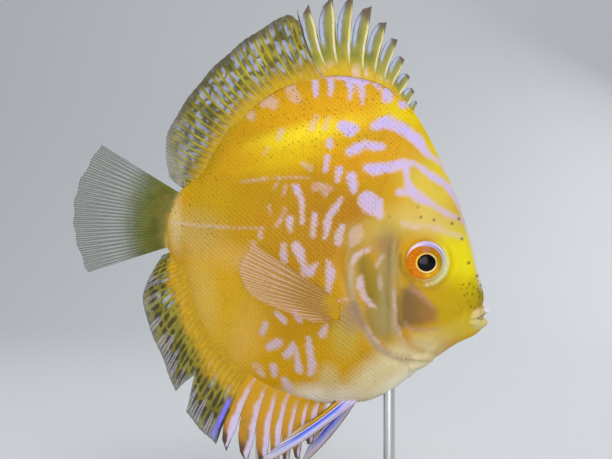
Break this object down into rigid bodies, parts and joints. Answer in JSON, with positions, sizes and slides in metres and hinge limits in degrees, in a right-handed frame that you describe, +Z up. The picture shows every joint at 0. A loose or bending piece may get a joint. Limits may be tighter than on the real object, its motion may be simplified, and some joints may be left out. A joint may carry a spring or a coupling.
{
  "type": "discus fish display model",
  "caption": "Life-size still model of a yellow discus fish with lilac markings, its fins spread, held above a flat wooden base by two thin steel rods",
  "frame": {"origin": "middle of the underside of the stand's base", "axes": "+X towards the fish's head, +Y towards its left side, +Z up"},
  "size_m": [0.1462, 0.066, 0.1861],
  "materials": {
    "skin": "glossy",
    "fin": "glossy",
    "eye": "polished",
    "base_wood": "satin",
    "rod_steel": "brushed"
  },
  "bodies": {
    "root": {"head": "skin", "trunk": "skin", "tail_base": "skin", "gill_cover_left": "skin", "gill_cover_right": "skin", "lower_jaw": "skin", "dorsal_fin_spines": "fin", "dorsal_fin_soft": "fin", "anal_fin_spines": "fin", "anal_fin_soft": "fin", "tail_fin": "fin", "pelvic_fin_left": "fin", "pelvic_fin_right": "fin", "pectoral_fin_left": "fin", "pectoral_fin_right": "fin", "eye_left": "eye", "eye_right": "eye", "stand_base": "base_wood", "stand_rod_front": "rod_steel", "stand_rod_back": "rod_steel"}
  },
  "joints": []
}
